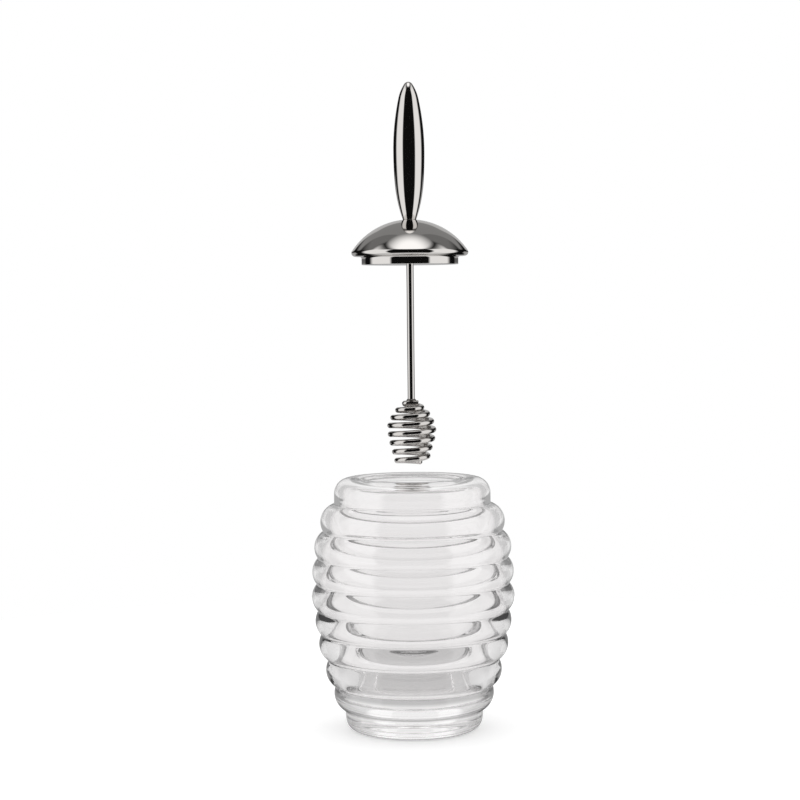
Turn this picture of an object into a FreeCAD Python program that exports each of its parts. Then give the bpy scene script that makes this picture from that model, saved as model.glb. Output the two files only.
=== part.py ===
"""Honey dispenser: a rippled glass jar, and a steel lid that carries a handle, a rod and a coil dipper.

Millimetres, +Z up. The origin is the centre of the jar's flat base, on the upright axis that
the jar, the lid and the dipper share. The lid is stored lifted clear of the jar, by lid_lift.
"""
import FreeCAD, Part
import math
import os
import Sketcher
from FreeCAD import Vector

# The driving dimensions: each is a cell of the sheet, and every radius is from the shared axis.
SIZES = {
    # jar, outside
    "jar_height": 112.2,
    "mouth_radius": 23.3,
    "mouth_round": 0.9,
    "lip_radius": 28.1,
    "shoulder_radius": 34.9,
    "shoulder_round": 6.8,
    "ripple_round": 8.1,
    "foot_radius": 30.5,
    "foot_round": 5.0,
    "punt_radius": 20.0,
    "punt_depth": 1.0,
    # jar, inside
    "neck_length": 2.6,
    "neck_depth": 3.9,
    "neck_flare": 0.7,
    "neck_round": 1.0,
    "roof_reach": 27.4,
    "roof_depth": 3.2,
    "roof_round": 3.8,
    "throat_height": 100.0,
    "wall": 2.3,
    "inner_ripple_round": 14.5,
    "last_inner_round": 16.0,
    "waist_radius": 37.4,
    "waist_height": 42.6,
    "haunch_radius": 33.0,
    "haunch_round": 12.0,
    "bowl_radius": 30.0,
    "bowl_height": 22.0,
    "bowl_round": 14.0,
    "floor_height": 16.5,
    "floor_radius": 24.0,
    "floor_round": 6.0,
    # lid
    "lid_lift": 98.6,
    "brim_radius": 26.0,
    "brim_round": 1.6,
    "dome_rise": 16.2,
    "dome_round": 31.0,
    "brim_tangent_radius": 25.73,
    "brim_tangent_rise": 2.49,
    "plug_radius": 21.5,
    "plug_depth": 3.7,
    "plug_fillet": 1.0,
    "rod_socket_radius": 1.65,
    "rod_socket_depth": 5.2,
    "stud_socket_radius": 1.55,
    "stud_socket_depth": 4.2,
    # handle, with heights from its foot
    "foot_seat_radius": 2.95,
    "handle_low_height": 15.6,
    "handle_low_radius": 6.32,
    "handle_low_round": 62.4,
    "handle_belly_height": 30.5,
    "handle_belly_radius": 6.93,
    "handle_under_belly_round": 180.3,
    "handle_over_belly_round": 111.0,
    "handle_high_height": 53.8,
    "handle_high_radius": 4.46,
    "handle_high_round": 18.5,
    "handle_tip_height": 60.24,
    "handle_tip_radius": 1.74,
    "handle_length": 61.17,
    "stud_radius": 1.5,
    "stud_length": 4.0,
    # rod and its weld
    "rod_radius": 1.6,
    "rod_thread_length": 5.0,
    "weld_radius": 2.2,
    "weld_rise": 0.7,
    "weld_drop": 0.9,
    # coil, with heights below the brim's underside
    "wire_radius": 1.25,
    "tail_reach": 3.2,
    "tail_offset": 0.9,
    "first_bend_round": 1.7,
    "tail_drop": 65.4,
    "wire_end_degrees": 130.0,
}

# Height and radius of the crease above each ripple, the last one above the foot.
CREASES = [
    (100.7, 34.9),
    (88.5, 39.9),
    (76.6, 42.3),
    (65.1, 42.8),
    (53.2, 42.4),
    (42.6, 41.1),
    (31.2, 37.9),
    (19.5, 35.0),
    (8.9, 30.9),
]

# The coil's half turns, from its first left side down: reach from the axis and drop below the brim.
HALF_TURNS = [
    (2.9, 65.6),
    (4.5, 67.3),
    (6.0, 68.5),
    (7.1, 70.1),
    (8.2, 71.8),
    (8.9, 73.5),
    (9.6, 75.3),
    (9.8, 77.2),
    (9.4, 79.2),
    (9.3, 81.1),
    (8.7, 83.1),
    (8.1, 85.1),
    (7.6, 87.1),
    (7.1, 89.0),
    (6.6, 91.0),
    (6.2, 92.4),
]

for number, (height, radius) in enumerate(CREASES, start=1):
    SIZES[f"crease_height_{number}"] = height
    SIZES[f"crease_radius_{number}"] = radius
for number, (reach, drop) in enumerate(HALF_TURNS, start=1):
    SIZES[f"turn_reach_{number}"] = reach
    SIZES[f"turn_drop_{number}"] = drop

doc = FreeCAD.newDocument("honey_dispenser")
sheet = doc.addObject("Spreadsheet::Sheet", "sizes")
for row, (alias, size) in enumerate(SIZES.items(), start=1):
    sheet.set(f"A{row}", alias)
    sheet.set(f"B{row}", str(size))
    sheet.setAlias(f"B{row}", alias)
doc.recompute()


def measured(words):
    """The value of a sum of sizes such as 'jar_height - neck_depth', and its sheet expression."""
    value, sign, bound = 0.0, 1, []
    for word in words.split():
        if word in ("+", "-"):
            sign = 1 if word == "+" else -1
            bound.append(word)
        else:
            value += sign * SIZES[word]
            bound.append("sizes." + word)
    return value, " ".join(bound)


def arc_between(start, end, bend, turn):
    """The arc of radius bend from start to end that turns left or right as it goes."""
    chord = end - start
    rise = bend - math.sqrt(bend**2 - chord.Length**2 / 4)
    left = Vector(-chord.y, chord.x, 0).normalize()
    side = 1 if turn == "right" else -1
    middle = (start + end) / 2 + left * side * rise
    return Part.Arc(start, middle, end)


def pole_bend(start, end):
    """The radius of an arc from start up to end, a pole, where it meets the axis squarely."""
    rise = end.y - start.y
    return (start.x**2 + rise**2) / (2 * rise)


def bound_distance(sketch, kind, place, words, name):
    """Holds a point of a sketch at a distance from the origin that the sheet gives."""
    value, expression = measured(words)
    sketch.addConstraint(Sketcher.Constraint(kind, -1, 1, *place, value))
    sketch.renameConstraint(sketch.ConstraintCount - 1, name)
    sketch.setExpression(f"Constraints.{name}", expression)


def turned_body(name, steps):
    """A body turned about Z. Each step is (radius, height) and, if round, (bend radius, turn) to it.

    The sizes are sums of the sheet's words. An empty radius or height is a point on an axis, and
    an empty bend radius is that of an arc centred on the axis it ends on.
    """
    body = doc.addObject("PartDesign::Body", name)
    sketch = body.newObject("Sketcher::SketchObject", f"{name}_outline")
    plane = next(item for item in body.Origin.OriginFeatures if item.Role == "XZ_Plane")
    sketch.AttachmentSupport = (plane, [""])
    sketch.MapMode = "FlatFace"
    points = [Vector(measured(step[0])[0], measured(step[1])[0], 0) for step in steps]
    ends = []
    for number, step in enumerate(steps):
        start, end = points[number - 1], points[number]
        if len(step) == 2:
            edge = sketch.addGeometry(Part.LineSegment(start, end), False)
        else:
            bend = measured(step[2])[0] if step[2] else pole_bend(start, end)
            edge = sketch.addGeometry(arc_between(start, end, bend, step[3]), False)
        starts_first = sketch.getPoint(edge, 1).distanceToPoint(start) < 1e-6
        ends.append((edge, 1, 2) if starts_first else (edge, 2, 1))
    for number, step in enumerate(steps):
        edge, first, last = ends[number]
        before, _, before_last = ends[number - 1]
        sketch.addConstraint(Sketcher.Constraint("Coincident", before, before_last, edge, first))
        if step[0]:
            bound_distance(sketch, "DistanceX", (edge, last), step[0], f"radius_{number}")
        else:
            sketch.addConstraint(Sketcher.Constraint("PointOnObject", edge, last, -2))
        if step[1]:
            bound_distance(sketch, "DistanceY", (edge, last), step[1], f"height_{number}")
        else:
            sketch.addConstraint(Sketcher.Constraint("PointOnObject", edge, last, -1))
        if len(step) > 2 and not step[2]:
            sketch.addConstraint(Sketcher.Constraint("PointOnObject", edge, 3, -2))
        elif len(step) > 2:
            value, expression = measured(step[2])
            sketch.addConstraint(Sketcher.Constraint("Radius", edge, value))
            sketch.renameConstraint(sketch.ConstraintCount - 1, f"round_{number}")
            sketch.setExpression(f"Constraints.round_{number}", expression)
    doc.recompute()
    turned = body.newObject("PartDesign::Revolution", f"{name}_turned")
    turned.Profile = sketch
    turned.ReferenceAxis = (sketch, ["V_Axis"])
    turned.Angle = 360
    doc.recompute()
    body.Label = name
    return body


def glass_jar():
    """The outline goes out along the lip, down the ripples, across the base and up the inside."""
    steps = [
        ("mouth_radius + mouth_round", "jar_height", "mouth_round", "right"),
        ("lip_radius", "jar_height"),
        ("shoulder_radius", "jar_height - shoulder_round", "shoulder_round", "right"),
        ("crease_radius_1", "crease_height_1"),
    ]
    for number in range(2, len(CREASES) + 1):
        steps.append((f"crease_radius_{number}", f"crease_height_{number}", "ripple_round", "right"))
    steps += [
        ("foot_radius", "foot_round"),
        ("foot_radius - foot_round", "", "foot_round", "right"),
        ("punt_radius", ""),
        ("punt_radius - punt_depth", "punt_depth"),
        ("", "punt_depth"),
        ("", "floor_height"),
        ("floor_radius", "floor_height"),
        ("bowl_radius", "bowl_height", "floor_round", "left"),
        ("haunch_radius", "crease_height_7", "bowl_round", "left"),
        ("waist_radius", "waist_height", "haunch_round", "left"),
        ("crease_radius_5 - wall", "crease_height_5", "last_inner_round", "left"),
    ]
    for number in range(4, 1, -1):
        inner = f"crease_radius_{number} - wall"
        steps.append((inner, f"crease_height_{number}", "inner_ripple_round", "left"))
    steps += [
        ("crease_radius_1 - wall", "throat_height", "inner_ripple_round", "left"),
        ("roof_reach + roof_round", "jar_height - roof_depth - roof_round"),
        ("roof_reach", "jar_height - roof_depth", "roof_round", "left"),
        ("mouth_radius + neck_flare", "jar_height - neck_depth"),
        ("mouth_radius", "jar_height - neck_length", "neck_round", "right"),
        ("mouth_radius", "jar_height - mouth_round"),
    ]
    return turned_body("glass_jar", steps)


def lid():
    """A solid dome with a round brim and a plug below it, tapped on top and underneath."""
    brim = "jar_height + lid_lift"
    top = f"{brim} + dome_rise"
    bottom = f"{brim} - plug_depth"
    steps = [
        ("", f"{top} - stud_socket_depth"),
        ("stud_socket_radius", f"{top} - stud_socket_depth"),
        ("stud_socket_radius", top),
        ("foot_seat_radius", top),
        ("brim_tangent_radius", f"{brim} + brim_tangent_rise", "dome_round", "right"),
        ("brim_radius - brim_round", brim, "brim_round", "right"),
        ("plug_radius + plug_fillet", brim),
        ("plug_radius", f"{brim} - plug_fillet", "plug_fillet", "left"),
        ("plug_radius", bottom),
        ("rod_socket_radius", bottom),
        ("rod_socket_radius", f"{bottom} + rod_socket_depth"),
        ("", f"{bottom} + rod_socket_depth"),
    ]
    return turned_body("lid", steps)


def handle():
    """A spindle of smooth arcs that stands on the dome, with a stud below its foot."""
    foot = "jar_height + lid_lift + dome_rise"
    steps = [
        ("", f"{foot} - stud_length"),
        ("stud_radius", f"{foot} - stud_length"),
        ("stud_radius", foot),
        ("foot_seat_radius", foot),
        ("handle_low_radius", f"{foot} + handle_low_height", "handle_low_round", "left"),
        ("handle_belly_radius", f"{foot} + handle_belly_height", "handle_under_belly_round", "left"),
        ("handle_high_radius", f"{foot} + handle_high_height", "handle_over_belly_round", "left"),
        ("handle_tip_radius", f"{foot} + handle_tip_height", "handle_high_round", "left"),
        ("", f"{foot} + handle_length", "", "left"),
    ]
    return turned_body("handle", steps)


def cylinder(name, radius, bottom, height):
    """An upright cylinder on the shared axis, bound to the sheet."""
    solid = doc.addObject("Part::Cylinder", name)
    solid.setExpression("Radius", radius)
    solid.setExpression("Height", height)
    solid.setExpression("Placement.Base.z", bottom)
    return solid


def cut(name, base, tool):
    """What is left of one object once another is taken away."""
    rest = doc.addObject("Part::Cut", name)
    rest.Base = base
    rest.Tool = tool
    return rest


BRIM = "sizes.jar_height + sizes.lid_lift"
ROD_END = f"({BRIM} - sizes.tail_drop + sizes.wire_radius)"


def dipper_rod():
    """From the crest of the wire's tail up into the lid's socket."""
    top = f"{BRIM} - sizes.plug_depth + sizes.rod_thread_length"
    rod = cylinder("dipper_rod", "sizes.rod_radius", ROD_END, f"{top} - {ROD_END}")
    rod.Label = "dipper_rod"
    return rod


def coil_path():
    """The wire's centre line: a short tail, a tight bend, then half turns about the axis.

    Each half turn is half a circle between a place on the left and one on the right, leaning with
    the drop from one to the other, so that the line is smooth where two of them meet.
    """
    brim = SIZES["jar_height"] + SIZES["lid_lift"]
    across = SIZES["tail_offset"]
    bend = SIZES["first_bend_round"]
    setback = bend - across
    stops = []
    for number, (reach, drop) in enumerate(HALF_TURNS):
        side = -1 if number % 2 == 0 else 1
        stops.append(Vector(side * reach, setback if number < 2 else 0, brim - drop))
    level = brim - SIZES["tail_drop"]
    tail = Vector(SIZES["tail_reach"], -across, level)
    bend_start = Vector(stops[0].x + bend, -across, level)
    lean = stops[0].z - level
    corner = bend / math.sqrt(2)
    bend_middle = Vector(stops[0].x + bend - corner, setback - corner, level + lean / 2)
    edges = [
        Part.LineSegment(tail, bend_start).toShape(),
        Part.Arc(bend_start, bend_middle, stops[0]).toShape(),
    ]
    for number in range(len(stops) - 1):
        start, end = stops[number], stops[number + 1]
        if number == 1:
            square = Vector(start.x, 0, start.z)
            edges.append(Part.LineSegment(start, square).toShape())
            start = square
        depth = (end - start).Length / 2
        side = 1 if number % 2 == 0 else -1
        centre = (start + end) / 2
        if number < len(stops) - 2:
            edges.append(Part.Arc(start, centre + Vector(0, side * depth, 0), end).toShape())
        else:
            swept = math.radians(SIZES["wire_end_degrees"])
            ahead = start - centre
            aside = Vector(0, side * depth, 0)
            half = centre + ahead * math.cos(swept / 2) + aside * math.sin(swept / 2)
            stop = centre + ahead * math.cos(swept) + aside * math.sin(swept)
            edges.append(Part.Arc(start, half, stop).toShape())
    return Part.Wire(edges)


def dipper_coil():
    """The wire, swept along its centre line."""
    path = coil_path()
    start = path.Edges[0].Vertexes[0].Point
    section = Part.Wire(Part.makeCircle(SIZES["wire_radius"], start, Vector(-1, 0, 0)))
    coil = doc.addObject("Part::Feature", "dipper_coil")
    coil.Shape = path.makePipeShell([section], True, True)
    coil.Label = "dipper_coil"
    return coil, path


def weld_bead(rod, coil):
    """Filler metal round the rod's end and down the sides of the wire's tail."""
    drop = "sizes.weld_drop"
    height = f"sizes.weld_rise + {drop}"
    blank = cylinder("weld_blank", "sizes.weld_radius", f"{ROD_END} - {drop}", height)
    bead = cut("weld_bead", cut("weld_round_rod", blank, rod), coil)
    bead.Label = "weld_bead"
    return bead


rod = dipper_rod()
coil, path = dipper_coil()
nodes = [glass_jar(), lid(), handle(), rod, coil, weld_bead(rod, coil)]
doc.recompute()

for item in doc.Objects:
    if "Invalid" in item.State or "Error" in item.State:
        raise RuntimeError(f"{item.Name} failed: {item.State}")
wire_volume = math.pi * SIZES["wire_radius"] ** 2 * path.Length
if abs(coil.Shape.Volume / wire_volume - 1) > 0.01:
    raise RuntimeError("the coil isn't its wire's section times its length")
os.makedirs("parts", exist_ok=True)
for node in nodes:
    if node.Shape.isNull() or not node.Shape.isValid() or not node.Shape.Solids:
        raise RuntimeError(f"{node.Label} has no valid solid")
    node.Shape.exportStep(f"parts/{node.Label}.step")
    box = node.Shape.BoundBox
    print(f"{node.Label}: {node.Shape.Volume:.0f} mm3, z {box.ZMin:.2f} to {box.ZMax:.2f}")
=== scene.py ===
"""A honey jar of rippled glass, with its steel lid and coil dipper lifted clear of it.

Metres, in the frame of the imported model: Z up, the jar's base on the ground, and one upright axis
that the jar, the lid and the dipper share. Outlines are written in millimetres and scaled once.
"""
import math

import bpy
import numpy as np
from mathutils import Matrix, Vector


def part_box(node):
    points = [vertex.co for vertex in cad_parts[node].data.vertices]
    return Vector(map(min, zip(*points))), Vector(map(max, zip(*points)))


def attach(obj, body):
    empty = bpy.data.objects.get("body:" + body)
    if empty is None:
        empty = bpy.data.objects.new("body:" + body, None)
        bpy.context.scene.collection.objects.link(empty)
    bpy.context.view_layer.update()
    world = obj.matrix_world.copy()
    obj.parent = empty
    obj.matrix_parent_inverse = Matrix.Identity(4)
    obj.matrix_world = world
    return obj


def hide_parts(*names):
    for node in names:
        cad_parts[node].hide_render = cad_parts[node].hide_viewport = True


MM = 0.001

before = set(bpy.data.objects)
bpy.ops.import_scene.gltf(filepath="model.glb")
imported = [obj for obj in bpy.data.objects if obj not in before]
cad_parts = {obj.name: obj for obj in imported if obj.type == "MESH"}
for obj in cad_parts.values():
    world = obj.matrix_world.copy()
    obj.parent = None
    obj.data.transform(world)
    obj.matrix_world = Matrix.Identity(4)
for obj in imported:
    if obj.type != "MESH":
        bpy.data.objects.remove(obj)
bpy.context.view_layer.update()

# ---------------------------------------------------------------- heights from the frame, in mm
JAR_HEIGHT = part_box("glass_jar")[1].z / MM
LID_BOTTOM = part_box("lid")[0].z / MM
HANDLE_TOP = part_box("handle")[1].z / MM
ROD_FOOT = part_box("dipper_rod")[0].z / MM
ROD_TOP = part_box("dipper_rod")[1].z / MM


# ---------------------------------------------------------------- outlines
def outline(steps, spacing=0.1):
    """Points (radius, height) along an outline of straight runs and arcs, in mm.

    Each step is (radius, height) or (radius, height, bend, turn). An arc's centre lies on the
    chord's middle line, at sqrt(bend^2 - (chord/2)^2) to the right or left of the way it goes,
    and its points are the centre plus the bend radius at evenly spaced angles.
    """
    runs = []
    for start, step in zip(steps, steps[1:]):
        start, end = np.array(start[:2], float), np.array(step[:2], float)
        chord = end - start
        length = np.hypot(*chord)
        part = np.linspace(0, 1, max(2, int(length / spacing)))[:, None]
        if len(step) == 2:
            runs.append(start + chord * part)
            continue
        bend, turn = step[2:]
        side = 1 if turn == "left" else -1
        aside = side * np.array([-chord[1], chord[0]]) / length
        centre = (start + end) / 2 + aside * math.sqrt(bend**2 - length**2 / 4)
        first = math.atan2(*(start - centre)[::-1])
        swept_angle = side * 2 * math.asin(length / 2 / bend)
        angle = first + swept_angle * part
        runs.append(centre + bend * np.hstack([np.cos(angle), np.sin(angle)]))
    return np.vstack([runs[0]] + [run[1:] for run in runs[1:]])


def eased(points, radius, spacing=0.05, window_radii=4):
    """An outline with its corners rounded off, to about the given radius in mm.

    The line is resampled evenly along its length and averaged with a bell-shaped window. Beyond an
    end that lies on the axis it carries on as its own mirror image, so that a pole stays square.
    """
    along = np.r_[0, np.cumsum(np.hypot(*np.diff(points, axis=0).T))]
    even = np.linspace(0, along[-1], int(along[-1] / spacing))
    line = np.stack([np.interp(even, along, column) for column in points.T], 1)
    reach = int(window_radii * radius / spacing)
    window = np.exp(-0.5 * (np.arange(-reach, reach + 1) / (radius / spacing)) ** 2)
    window /= window.sum()
    mirror = np.array([-1, 1])
    before = line[reach:0:-1] * mirror + (line[0] * (1 - mirror))
    after = line[-2 : -reach - 2 : -1] * mirror + (line[-1] * (1 - mirror))
    padded = np.vstack([before, line, after])
    return np.stack([np.convolve(column, window, "valid") for column in padded.T], 1)


def thinned(points, count, bends=2.0):
    """count points of an outline, spaced closer where it bends.

    They are even in the sum of length travelled, in mm, and bends times the angle turned.
    """
    step = np.diff(points, axis=0)
    heading = np.unwrap(np.arctan2(step[:, 1], step[:, 0]))
    turned_by = np.r_[0, np.abs(np.diff(heading)), 0]
    travel = np.cumsum(np.hypot(*step.T) + bends * (turned_by[1:] + turned_by[:-1]) / 2)
    travel = np.r_[0, travel]
    wanted = np.linspace(0, travel[-1], count)
    return np.stack([np.interp(wanted, travel, column) for column in points.T], 1)


# ---------------------------------------------------------------- surfaces
def grid_faces(rows, columns):
    """The quads of a grid of rows by columns whose columns close on themselves."""
    row, column = np.mgrid[0 : rows - 1, 0:columns]
    ahead = (column + 1) % columns
    corners = [row * columns + column, row * columns + ahead]
    corners += [(row + 1) * columns + ahead, (row + 1) * columns + column]
    return np.stack(corners, -1).reshape(-1, 4)


def piece(name, grid, material, body, slot, replaced):
    """A smooth closed skin over a grid (rows, columns, 3), in mm, that rides on a body.

    The first and last row are each a single place: the pole where a fan of triangles closes.
    """
    poles = grid[[0, -1]].mean(axis=1)
    grid = grid[1:-1]
    rows, columns = grid.shape[:2]
    points = np.vstack([grid.reshape(-1, 3), poles]) * MM
    quads = grid_faces(rows, columns)
    here = np.arange(columns)
    ahead = (here + 1) % columns
    first, last = rows * columns, rows * columns + 1
    low = np.stack([ahead, here, np.full(columns, first)], 1)
    far = (rows - 1) * columns
    high = np.stack([far + here, far + ahead, np.full(columns, last)], 1)
    corner = np.concatenate([quads.ravel(), low.ravel(), high.ravel()])
    size = np.r_[np.full(len(quads), 4), np.full(2 * columns, 3)]
    mesh = bpy.data.meshes.new(name)
    mesh.vertices.add(len(points))
    mesh.vertices.foreach_set("co", points.ravel())
    mesh.loops.add(len(corner))
    mesh.loops.foreach_set("vertex_index", corner)
    mesh.polygons.add(len(size))
    mesh.polygons.foreach_set("loop_start", np.r_[0, np.cumsum(size)[:-1]])
    mesh.polygons.foreach_set("use_smooth", np.ones(len(size), bool))
    mesh.update(calc_edges=True)
    mesh.validate()
    mesh.materials.append(material)
    made = bpy.data.objects.new(name, mesh)
    bpy.context.scene.collection.objects.link(made)
    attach(made, body)
    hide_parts(replaced)


def turned(name, steps, rounding, rows, columns, **rest):
    """A piece turned about the axis from its outline, with its corners rounded off, in mm.

    At even angles a its skin is (radius cos a, radius sin a, height).
    """
    line = thinned(eased(outline(steps), rounding), rows)
    angle = np.linspace(0, 2 * np.pi, columns, endpoint=False)
    radius, height = line[:, :1], line[:, 1:]
    across = [radius * np.cos(angle), radius * np.sin(angle), height + 0 * angle]
    piece(name, np.stack(across, -1), **rest)


def swept(path, radius, columns):
    """A round wire: path + radius (cos a * side + sin a * up), square to the path at each point.

    side is level, square to the path, and up is square to both. Each end closes at its middle.
    """
    ahead = np.gradient(path, axis=0)
    ahead /= np.linalg.norm(ahead, axis=1, keepdims=True)
    side = np.cross([0, 0, 1], ahead)
    side /= np.linalg.norm(side, axis=1, keepdims=True)
    up = np.cross(ahead, side)
    angle = np.linspace(0, 2 * np.pi, columns, endpoint=False)[None, :, None]
    ring = np.cos(angle) * side[:, None] + np.sin(angle) * up[:, None]
    skin = path[:, None] + radius[:, None, None] * ring
    ends = np.repeat(path[[0, -1], None], columns, axis=1)
    return np.concatenate([ends[:1], skin, ends[1:]])


# ---------------------------------------------------------------- materials
WHITE = (1, 1, 1, 1)
# a buffed surface's roughness runs between these parts of its mean
BUFFED_RANGE = (0.7, 1.3)
# a buffing mark is this many times as long round the piece as it is tall
MARK_STRETCH = 12
# the waves in the glass's skin: how far apart and how deep, in mm
GLASS_WAVE_LENGTH = 14
GLASS_WAVE_DEPTH = 0.02
# the reflection inside the glass at which the renderer drops the light
LAST_REFLECTION = 4
# painted glow of the glass, standing in for the light that runs round inside it: painted shade
# low above the table and brighter higher up the jar, and the heights in mm between which it rises
PAINTED_GLOW_LEVELS = (0.035, 0.2)
PAINTED_GLOW_HEIGHTS = (40, 75)
# the brushed weld: its grain's size and depth in mm, and the least and most roughness
WELD_GRAIN = 0.5
WELD_DEPTH = 0.08
WELD_ROUGHNESS = (0.25, 0.5)


def linear(hexadecimal):
    """An sRGB hex colour as linear red, green, blue and a full alpha."""
    value = [int(hexadecimal[n : n + 2], 16) / 255 for n in (1, 3, 5)]
    value = [v / 12.92 if v <= 0.04045 else ((v + 0.055) / 1.055) ** 2.4 for v in value]
    return (*value, 1.0)


def add(tree, kind, inputs=None, **settings):
    """Adds a node with its settings, and gives each input a value or a link from a socket."""
    node = tree.nodes.new(kind)
    for word, value in settings.items():
        setattr(node, word, value)
    for word, value in (inputs or {}).items():
        if isinstance(value, bpy.types.NodeSocket):
            tree.links.new(value, node.inputs[word])
        else:
            node.inputs[word].default_value = value
    return node


def new_material(name):
    """A material with only a Principled shader, its tree and that shader."""
    material = bpy.data.materials.new(name)
    material.use_nodes = True
    tree = material.node_tree
    return material, tree, tree.nodes["Principled BSDF"]


def polished_steel(name, colour, roughness, mark_mm, depth_mm):
    """Stainless steel turned and buffed to a mirror.

    It reflects like a mirror, a little warm and darker than silver, and the buffing leaves fine
    marks round the piece that only soften the brightest reflections. Real ones are about 0.01 mm
    tall; here they are about ten times as coarse, so that they show.
    """
    material, tree, shader = new_material(name)
    shader.inputs["Base Color"].default_value = linear(colour)
    shader.inputs["Metallic"].default_value = 1.0
    place = add(tree, "ShaderNodeTexCoord")
    stretch = add(
        tree,
        "ShaderNodeMapping",
        {"Vector": place.outputs["Object"], "Scale": (1, 1, MARK_STRETCH)},
    )
    marks = add(
        tree,
        "ShaderNodeTexNoise",
        {"Vector": stretch.outputs["Vector"], "Scale": 1 / (mark_mm * MM), "Detail": 3.0},
    )
    least, most = BUFFED_RANGE
    spread = add(
        tree,
        "ShaderNodeMapRange",
        {
            "Value": marks.outputs["Fac"],
            "To Min": roughness * least,
            "To Max": roughness * most,
        },
    )
    tree.links.new(spread.outputs["Result"], shader.inputs["Roughness"])
    bump = add(
        tree,
        "ShaderNodeBump",
        {"Height": marks.outputs["Fac"], "Strength": 1.0, "Distance": depth_mm * MM},
    )
    tree.links.new(bump.outputs["Normal"], shader.inputs["Normal"])
    return material


def clear_glass():
    """Soda-lime glass, pressed in a mould: clear and bright, with a softly wavy skin.

    Light that runs round inside the thick rings reflects many times before it leaves. Where the
    renderer drops it, the glass glows instead with painted light at the room's mean level: painted
    shade low down, rising with height by a smooth step to a brighter glow higher up.
    """
    material, tree, shader = new_material("pressed_soda_lime_glass")
    shader.inputs["Base Color"].default_value = linear("#FDFCFC")
    shader.inputs["Transmission Weight"].default_value = 1.0
    shader.inputs["IOR"].default_value = 1.52
    shader.inputs["Roughness"].default_value = 0.0
    place = add(tree, "ShaderNodeTexCoord")
    waves = add(
        tree,
        "ShaderNodeTexNoise",
        {
            "Vector": place.outputs["Object"],
            "Scale": 1 / (GLASS_WAVE_LENGTH * MM),
            "Detail": 1.0,
        },
    )
    bump = add(
        tree,
        "ShaderNodeBump",
        {
            "Height": waves.outputs["Fac"],
            "Strength": 1.0,
            "Distance": GLASS_WAVE_DEPTH * MM,
        },
    )
    tree.links.new(bump.outputs["Normal"], shader.inputs["Normal"])
    # painted glow: where the renderer drops the light inside, the glass emits light itself, as
    # painted shade low down and brighter higher up
    path = add(tree, "ShaderNodeLightPath")
    painted_glow_where_dropped = add(
        tree,
        "ShaderNodeMath",
        {0: path.outputs["Glossy Depth"], 1: LAST_REFLECTION - 0.5},
        operation="GREATER_THAN",
    )
    height = add(tree, "ShaderNodeSeparateXYZ", {"Vector": place.outputs["Object"]})
    low, high = PAINTED_GLOW_HEIGHTS
    painted_glow_by_height = add(
        tree,
        "ShaderNodeMapRange",
        {
            "Value": height.outputs["Z"],
            "From Min": low * MM,
            "From Max": high * MM,
            "To Min": PAINTED_GLOW_LEVELS[0],
            "To Max": PAINTED_GLOW_LEVELS[1],
        },
        interpolation_type="SMOOTHSTEP",
    )
    level = add(
        tree,
        "ShaderNodeMath",
        {0: painted_glow_where_dropped.outputs[0], 1: painted_glow_by_height.outputs["Result"]},
        operation="MULTIPLY",
    )
    shader.inputs["Emission Color"].default_value = WHITE
    tree.links.new(level.outputs[0], shader.inputs["Emission Strength"])
    return material


def weld_metal():
    """Stainless steel weld metal, brushed after welding: grey, uneven and half matt."""
    material, tree, shader = new_material("brushed_steel_weld")
    shader.inputs["Metallic"].default_value = 1.0
    place = add(tree, "ShaderNodeTexCoord")
    grain = add(
        tree,
        "ShaderNodeTexNoise",
        {"Vector": place.outputs["Object"], "Scale": 1 / (WELD_GRAIN * MM), "Detail": 4.0},
    )
    tone = add(
        tree,
        "ShaderNodeMix",
        {"Factor": grain.outputs["Fac"], "A": linear("#5A5755"), "B": linear("#9A9692")},
        data_type="RGBA",
    )
    tree.links.new(tone.outputs["Result"], shader.inputs["Base Color"])
    least, most = WELD_ROUGHNESS
    spread = add(
        tree,
        "ShaderNodeMapRange",
        {"Value": grain.outputs["Fac"], "To Min": least, "To Max": most},
    )
    tree.links.new(spread.outputs["Result"], shader.inputs["Roughness"])
    bump = add(
        tree,
        "ShaderNodeBump",
        {"Height": grain.outputs["Fac"], "Strength": 1.0, "Distance": WELD_DEPTH * MM},
    )
    tree.links.new(bump.outputs["Normal"], shader.inputs["Normal"])
    return material


GLASS = clear_glass()
STEEL = polished_steel(
    "mirror_polished_stainless_steel", "#D6D3D0", roughness=0.03, mark_mm=1.2, depth_mm=0.0002
)
WIRE = polished_steel(
    "polished_stainless_wire", "#CFCCC9", roughness=0.03, mark_mm=0.8, depth_mm=0.0002
)
WELD = weld_metal()

# ---------------------------------------------------------------- jar, in mm
WALL = 2.3
FLOOR_HEIGHT = 16.5
BASE_HOLLOW = 1.0
RIPPLE_BEND = 8.1
INNER_RIPPLE_BEND = 14.5
SHOULDER_BEND = 6.8
MOUTH_RADIUS = 23.3
MOUTH_EDGE = 0.9
# radius and height of the creases between the ripples, from the one above the foot upwards
CREASES = [
    (30.9, 8.9),
    (35.0, 19.5),
    (37.9, 31.2),
    (41.1, 42.6),
    (42.4, 53.2),
    (42.8, 65.1),
    (42.3, 76.6),
    (39.9, 88.5),
    (34.9, 100.7),
]


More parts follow.
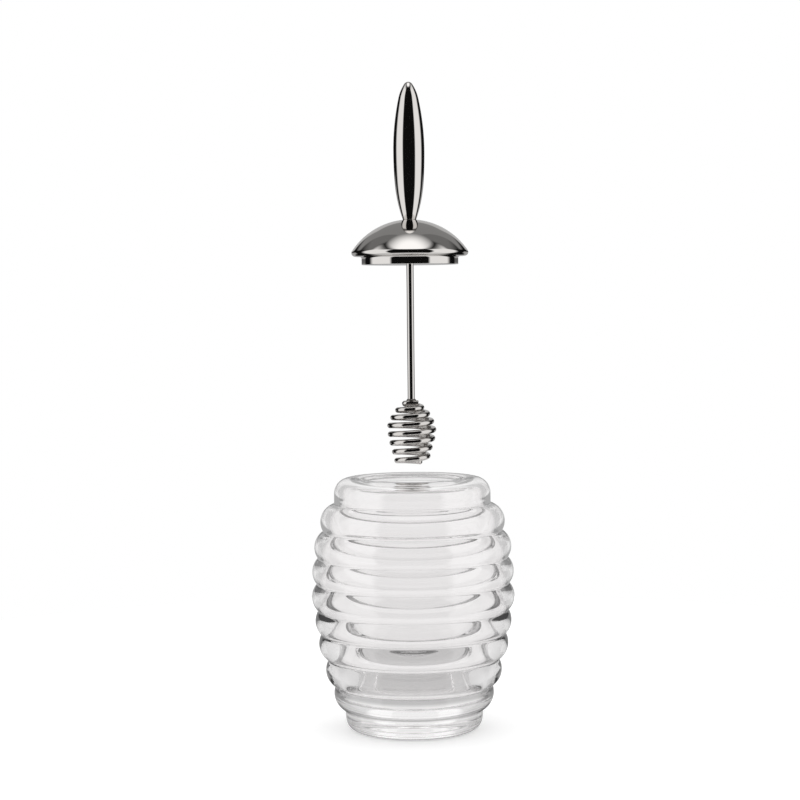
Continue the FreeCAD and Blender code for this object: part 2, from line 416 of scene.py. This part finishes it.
def jar_outline():
    """From the middle of the base out, up the ripples, over the lip and down the inside."""
    # a hollow under the base, the flat ring that the jar stands on and the foot's round edge
    foot = [
        (0, BASE_HOLLOW),
        (19.0, BASE_HOLLOW),
        (20.0, 0),
        (25.5, 0),
        (30.5, 5.0, 5.0, "left"),
        CREASES[0],
    ]
    ripples = [(*crease, RIPPLE_BEND, "left") for crease in CREASES[1:]]
    lip = [
        (34.9, JAR_HEIGHT - SHOULDER_BEND),
        (28.1, JAR_HEIGHT, SHOULDER_BEND, "left"),
        (24.2, JAR_HEIGHT),
        (MOUTH_RADIUS, JAR_HEIGHT - MOUTH_EDGE, MOUTH_EDGE, "left"),
        (MOUTH_RADIUS, JAR_HEIGHT - 2.6),
    ]
    # under the lip the inside opens out beneath a roof that rises outwards
    roof = [
        (24.0, JAR_HEIGHT - 3.9, 1.0, "left"),
        (27.4, JAR_HEIGHT - 3.2),
        (31.2, JAR_HEIGHT - 7.0, 3.8, "right"),
        (32.6, 100.0),
    ]
    inner_ripples = [
        (radius - WALL, height, INNER_RIPPLE_BEND, "right") for radius, height in CREASES[7:3:-1]
    ]
    # lower down the wall thickens into the base, and the inside closes as a bowl
    bowl = [
        (37.4, 42.6, 16.0, "right"),
        (33.0, 31.2, 12.0, "right"),
        (30.0, 22.0, 14.0, "right"),
        (24.0, FLOOR_HEIGHT, 6.0, "right"),
        (0, FLOOR_HEIGHT),
    ]
    return foot + ripples + lip + roof + inner_ripples + bowl


turned(
    "jar",
    jar_outline(),
    rounding=0.4,
    rows=640,
    columns=150,
    material=GLASS,
    body="jar",
    slot="clear_glass",
    replaced="glass_jar",
)

# ---------------------------------------------------------------- lid and handle, in mm
PLUG_DEPTH = 3.7
DOME_HEIGHT = 16.2
BRIM = LID_BOTTOM + PLUG_DEPTH
DOME_TOP = BRIM + DOME_HEIGHT
PLUG_RADIUS = 21.5
# the small flat on top of the dome, and the handle's foot that stands on it
SEAT_RADIUS = 2.95
STUD_RADIUS = 1.5
STUD_LENGTH = 4.0

# from the middle of the plug's underside out, up to the brim, round its edge and over the dome
LID_STEPS = [
    (0, LID_BOTTOM),
    (PLUG_RADIUS, LID_BOTTOM),
    (PLUG_RADIUS, BRIM - 1.0),
    (22.5, BRIM, 1.0, "right"),
    (24.4, BRIM),
    (25.73, BRIM + 2.49, 1.6, "left"),
    (SEAT_RADIUS, DOME_TOP, 31.0, "left"),
    (0, DOME_TOP),
]
turned(
    "domed_lid",
    LID_STEPS,
    rounding=0.12,
    rows=300,
    columns=160,
    material=STEEL,
    body="lid",
    slot="polished_steel",
    replaced="lid",
)

# the stud in the lid, the foot, and the spindle: swelling, at its widest, narrowing, and the tip
HANDLE_STEPS = [
    (0, DOME_TOP - STUD_LENGTH),
    (STUD_RADIUS, DOME_TOP - STUD_LENGTH),
    (STUD_RADIUS, DOME_TOP),
    (SEAT_RADIUS, DOME_TOP),
    (6.32, DOME_TOP + 15.6, 62.4, "left"),
    (6.93, DOME_TOP + 30.5, 180.3, "left"),
    (4.46, DOME_TOP + 53.8, 111.0, "left"),
    (1.74, DOME_TOP + 60.24, 18.5, "left"),
    (0, HANDLE_TOP, 2.093, "left"),
]
turned(
    "spindle_handle",
    HANDLE_STEPS,
    rounding=0.1,
    rows=260,
    columns=96,
    material=STEEL,
    body="dipper",
    slot="polished_steel",
    replaced="handle",
)

# ---------------------------------------------------------------- rod, coil and weld, in mm
ROD_RADIUS = 1.6
WIRE_RADIUS = 1.25
# how far the wire's sawn ends are rounded off, and the points' spacing along its path
WIRE_CORNER = 0.25
WIRE_SPACING = 0.1

turned(
    "rod",
    [(0, ROD_FOOT), (ROD_RADIUS, ROD_FOOT), (ROD_RADIUS, ROD_TOP), (0, ROD_TOP)],
    rounding=0.12,
    rows=90,
    columns=48,
    material=WIRE,
    body="dipper",
    slot="steel_wire",
    replaced="dipper_rod",
)

# the coil's half turns, from its first left side down: reach from the axis, drop below the brim
HALF_TURNS = [
    (2.9, 65.6),
    (4.5, 67.3),
    (6.0, 68.5),
    (7.1, 70.1),
    (8.2, 71.8),
    (8.9, 73.5),
    (9.6, 75.3),
    (9.8, 77.2),
    (9.4, 79.2),
    (9.3, 81.1),
    (8.7, 83.1),
    (8.1, 85.1),
    (7.6, 87.1),
    (7.1, 89.0),
    (6.6, 91.0),
    (6.2, 92.4),
]
# the tail: how far it runs past the axis, how far beside it, and its drop below the brim
TAIL_REACH = 3.2
TAIL_OFFSET = 0.9
TAIL_DROP = 65.4
FIRST_BEND = 1.7
# the wire stops this far into its last half turn
WIRE_END = math.radians(130)
TURN_POINTS = 1400
BEND_POINTS = 40


def smooth_through(values, at):
    """A smooth curve through values at 0, 1, 2, ..., read at the places in at.

    Between two of them it is the cubic whose slope at each is half the step past its neighbours.
    """
    padded = np.r_[2 * values[0] - values[1], values, 2 * values[-1] - values[-2]]
    number = np.clip(at.astype(int), 0, len(values) - 2)
    part = at - number
    before, start, end, after = (padded[number + n] for n in range(4))
    slope_start, slope_end = (end - before) / 2, (after - start) / 2
    gap = end - start
    square = 3 * gap - 2 * slope_start - slope_end
    cube = slope_start + slope_end - 2 * gap
    return start + part * (slope_start + part * square + part**2 * cube)


def coil_path():
    """The wire's middle line: a tail across the axis, a tight bend, then a barrel of turns.

    Past the bend, at an angle a from the left side, the line is (-reach cos a, reach sin a) round
    the axis at brim - drop, with reach and drop read off the half turns by a smooth curve.
    """
    reach, drop = np.array(HALF_TURNS).T
    last = len(reach) - 2 + WIRE_END / math.pi
    half = np.linspace(0, last, TURN_POINTS)
    setback = (FIRST_BEND - TAIL_OFFSET) * np.clip(2 - half, 0, 1)
    radius, fall = smooth_through(reach, half), smooth_through(drop, half)
    across, back = -radius * np.cos(np.pi * half), radius * np.sin(np.pi * half) + setback
    turns = np.stack([across, back, BRIM - fall], 1)
    start = turns[0]
    bend_centre = start[0] + FIRST_BEND
    angle = np.linspace(-np.pi / 2, -np.pi, BEND_POINTS)
    level = np.linspace(BRIM - TAIL_DROP, start[2], BEND_POINTS)
    across, back = bend_centre + FIRST_BEND * np.cos(angle), start[1] + FIRST_BEND * np.sin(angle)
    bend = np.stack([across, back, level], 1)
    tail = np.linspace([TAIL_REACH, bend[0, 1], bend[0, 2]], bend[0], BEND_POINTS)
    line = np.vstack([tail[:-1], bend[:-1], turns])
    along = np.r_[0, np.cumsum(np.linalg.norm(np.diff(line, axis=0), axis=1))]
    even = np.linspace(0, along[-1], int(along[-1] / WIRE_SPACING))
    return np.stack([np.interp(even, along, column) for column in line.T], 1)


def wire_radius(path):
    """The wire's radius along its path: full, and a quarter circle down at each sawn end."""
    along = np.r_[0, np.cumsum(np.linalg.norm(np.diff(path, axis=0), axis=1))]
    near = np.minimum(along, along[-1] - along)
    rounding = np.clip(1 - near / WIRE_CORNER, 0, 1)
    return WIRE_RADIUS - WIRE_CORNER * (1 - np.sqrt(1 - rounding**2))


coil_line = coil_path()
piece(
    "coil",
    swept(coil_line, wire_radius(coil_line), columns=24),
    material=WIRE,
    body="dipper",
    slot="steel_wire",
    replaced="dipper_coil",
)

# a low collar round the rod's foot, from the middle of its underside out and up
WELD_STEPS = [
    (0, ROD_FOOT - 0.8),
    (1.9, ROD_FOOT - 0.8),
    (2.2, ROD_FOOT - 0.2, 0.7, "left"),
    (1.7, ROD_FOOT + 0.65, 1.2, "left"),
    (0, ROD_FOOT + 0.65),
]
turned(
    "weld",
    WELD_STEPS,
    rounding=0.1,
    rows=40,
    columns=40,
    material=WELD,
    body="dipper",
    slot="weld_metal",
    replaced="weld_bead",
)

# ---------------------------------------------------------------- table, in metres
TABLE_RADIUS = 0.4
TABLE_SIDES = 96
# the table lies this far under the base, so that the two don't share a plane
TABLE_GAP = 0.0002
# the level of its own light
TABLE_GLOW = 0.32
# seen through the glass the table is only its own light, with a painted shadow round the foot: its
# level near the foot and farther out, and the distances from the axis between which it rises
TABLE_PAINTED_SHADE_LEVELS = (0.5, 0.84)
TABLE_PAINTED_SHADE_DISTANCES = (0.035, 0.09)


def white_table():
    """Matt white laminate: pale all over, with the object's shade on it where it is seen straight.

    Seen straight, some of its white is its own light. Seen through the glass it is only its own
    light, with a painted shadow round the foot: its level rises from the foot outwards by a smooth
    step.
    """
    material = bpy.data.materials.new("white_table")
    material.use_nodes = True
    tree = material.node_tree
    tree.nodes.clear()
    matt = add(tree, "ShaderNodeBsdfDiffuse", {"Color": linear("#F2F2F2")})
    glow = add(tree, "ShaderNodeEmission", {"Color": WHITE, "Strength": TABLE_GLOW})
    both = add(tree, "ShaderNodeAddShader", {0: matt.outputs[0], 1: glow.outputs[0]})
    path = add(tree, "ShaderNodeLightPath")
    straight = add(
        tree,
        "ShaderNodeMixShader",
        {0: path.outputs["Is Camera Ray"], 1: matt.outputs[0], 2: both.outputs[0]},
    )
    place = add(tree, "ShaderNodeTexCoord")
    away = add(tree, "ShaderNodeVectorMath", {0: place.outputs["Object"]}, operation="LENGTH")
    # painted shadow round the foot: the table's glow, as seen through the glass, is lower near the
    # jar
    level = add(
        tree,
        "ShaderNodeMapRange",
        {
            "Value": away.outputs["Value"],
            "From Min": TABLE_PAINTED_SHADE_DISTANCES[0],
            "From Max": TABLE_PAINTED_SHADE_DISTANCES[1],
            "To Min": TABLE_PAINTED_SHADE_LEVELS[0],
            "To Max": TABLE_PAINTED_SHADE_LEVELS[1],
        },
        interpolation_type="SMOOTHSTEP",
    )
    through = add(
        tree,
        "ShaderNodeEmission",
        {"Color": WHITE, "Strength": level.outputs["Result"]},
    )
    surface = add(
        tree,
        "ShaderNodeMixShader",
        {0: path.outputs["Is Transmission Ray"], 1: straight.outputs[0], 2: through.outputs[0]},
    )
    add(tree, "ShaderNodeOutputMaterial", {"Surface": surface.outputs[0]})
    return material


def table_top():
    """A flat disc under the jar: a fan of triangles from its middle to radius (cos a, sin a).

    Metal doesn't mirror it, because what the room gives from below stands in for it.
    """
    angle = np.linspace(0, 2 * np.pi, TABLE_SIDES, endpoint=False)
    ring = np.stack([np.cos(angle), np.sin(angle), 0 * angle], 1) * TABLE_RADIUS
    points = np.vstack([[0, 0, 0], ring]) - [0, 0, TABLE_GAP]
    here = np.arange(TABLE_SIDES)
    faces = np.stack([0 * here, here + 1, (here + 1) % TABLE_SIDES + 1], 1)
    mesh = bpy.data.meshes.new("table_top")
    mesh.from_pydata(points.tolist(), [], faces.tolist())
    mesh.materials.append(white_table())
    top = bpy.data.objects.new("table_top", mesh)
    top.visible_glossy = False
    bpy.context.scene.collection.objects.link(top)


# ---------------------------------------------------------------- room
# Each soft box is a level, its steps in turn and its steps in rise, in degrees. turn is measured
# from the front round to either side, and rise from level. A step goes from nothing at its first
# number to full at its second.
SOFT_BOXES = [
    (1.1, [(43, 51), (113, 97)], [(-58, -42), (62, 46)]),
    (0.2, [(96, 112)], [(27, 45)]),
    (0.28, [(131, 141)], [(20, 28)]),
    (0.55, [(154, 162)], [(1, 9), (38, 30)]),
    (0.42, [(130, 138)], [(-19, -17), (2, 0)]),
    (0.8, [], [(-42, -58)]),
]
ROOM_LEVEL = 0.006
# the light overhead: its direction, its level, the step in the angle away from it and that in rise
TOP_RISE = math.radians(68)
TOP_DIRECTION = (0, -math.cos(TOP_RISE), math.sin(TOP_RISE))
TOP_LEVEL = 1.45
TOP_FADE = (46, 12)
TOP_EDGE = (59, 67)
# what only the glass shows, in the same terms: a pale wall behind, brightest beside its middle, and
# a pale ceiling and table in front
GLASS_BOXES = [
    (0.9, [(155, 169)], []),
    (1.0, [(142, 158), (172, 168)], []),
    (0.7, [(96, 112)], []),
    (0.85, [], [(22, 38)]),
    (0.85, [], [(-16, -32)]),
]
GLASS_ROOM_LEVEL = 0.3


def studio():
    """The room's light by direction, the same on the left and on the right.

    The front is dark, with a tall soft box on either side and one overhead. Past the side boxes the
    room is dark again, which gives bright edges a thin black line, and what lies behind is lit more
    softly. The room's level is the highest of its boxes' levels, each times its smooth steps.
    """
    world = bpy.data.worlds.new("studio")
    bpy.context.scene.world = world
    world.use_nodes = True
    tree = world.node_tree
    tree.nodes.clear()
    place = add(tree, "ShaderNodeTexCoord")
    split = add(tree, "ShaderNodeSeparateXYZ", {"Vector": place.outputs["Generated"]})
    aside = add(tree, "ShaderNodeMath", {0: split.outputs["X"]}, operation="ABSOLUTE")
    towards = add(tree, "ShaderNodeMath", {0: split.outputs["Y"], 1: -1.0}, operation="MULTIPLY")
    across = add(
        tree,
        "ShaderNodeVectorMath",
        {0: place.outputs["Generated"], 1: TOP_DIRECTION},
        operation="DOT_PRODUCT",
    )
    turn, rise, away = (
        add(tree, "ShaderNodeMath", inputs, operation=operation).outputs[0]
        for operation, inputs in (
            ("ARCTAN2", {0: aside.outputs[0], 1: towards.outputs[0]}),
            ("ARCSINE", {0: split.outputs["Z"]}),
            ("ARCCOSINE", {0: across.outputs["Value"]}),
        )
    )

    def brightened(level, peak, *edges):
        """The higher of a level and a peak times its edges: (angle, (from, to)) smooth steps."""
        box = peak
        for angle, (start, end) in edges:
            edge = add(
                tree,
                "ShaderNodeMapRange",
                {"Value": angle, "From Min": math.radians(start), "From Max": math.radians(end)},
                interpolation_type="SMOOTHSTEP",
            )
            factors = {0: box, 1: edge.outputs["Result"]}
            box = add(tree, "ShaderNodeMath", factors, operation="MULTIPLY").outputs[0]
        return add(tree, "ShaderNodeMath", {0: level, 1: box}, operation="MAXIMUM").outputs[0]

    level = brightened(ROOM_LEVEL, TOP_LEVEL, (away, TOP_FADE), (rise, TOP_EDGE))
    for peak, turns, rises in SOFT_BOXES:
        level = brightened(level, peak, *((turn, t) for t in turns), *((rise, r) for r in rises))
    behind = brightened(level, GLASS_ROOM_LEVEL)
    for peak, turns, rises in GLASS_BOXES:
        behind = brightened(behind, peak, *((turn, t) for t in turns), *((rise, r) for r in rises))
    path = add(tree, "ShaderNodeLightPath")
    mirrored = add(tree, "ShaderNodeBackground", {"Color": WHITE, "Strength": level})
    through = add(tree, "ShaderNodeBackground", {"Color": WHITE, "Strength": behind})
    straight = add(tree, "ShaderNodeBackground", {"Color": WHITE, "Strength": 1.0})
    opaque = add(
        tree,
        "ShaderNodeMixShader",
        {0: path.outputs["Is Glossy Ray"], 1: straight.outputs[0], 2: mirrored.outputs[0]},
    )
    surface = add(
        tree,
        "ShaderNodeMixShader",
        {0: path.outputs["Is Transmission Ray"], 1: opaque.outputs[0], 2: through.outputs[0]},
    )
    add(tree, "ShaderNodeOutputWorld", {"Surface": surface.outputs[0]})


# ---------------------------------------------------------------- camera, in mm and degrees
LENS = 88.9
DISTANCE = 880.0
EYE_HEIGHT = 190.0
EYE_ASIDE = -4.6
LOOK_DOWN = 1.65
ROLL = 0.58
FRAME_SHIFT = -0.05


def camera():
    """Well back and just below the lifted lid: the lid shows level, the jar a little from above."""
    data = bpy.data.cameras.new("camera")
    data.sensor_width = 36.0
    data.lens = LENS
    data.shift_y = FRAME_SHIFT
    data.clip_start, data.clip_end = 0.01, 50.0
    eye = bpy.data.objects.new("camera", data)
    eye.location = (EYE_ASIDE * MM, -DISTANCE * MM, EYE_HEIGHT * MM)
    eye.rotation_euler = (math.radians(90 - LOOK_DOWN), math.radians(ROLL), 0)
    bpy.context.scene.collection.objects.link(eye)
    bpy.context.scene.camera = eye


table_top()
studio()
camera()
bpy.context.scene.view_settings.view_transform = "Standard"
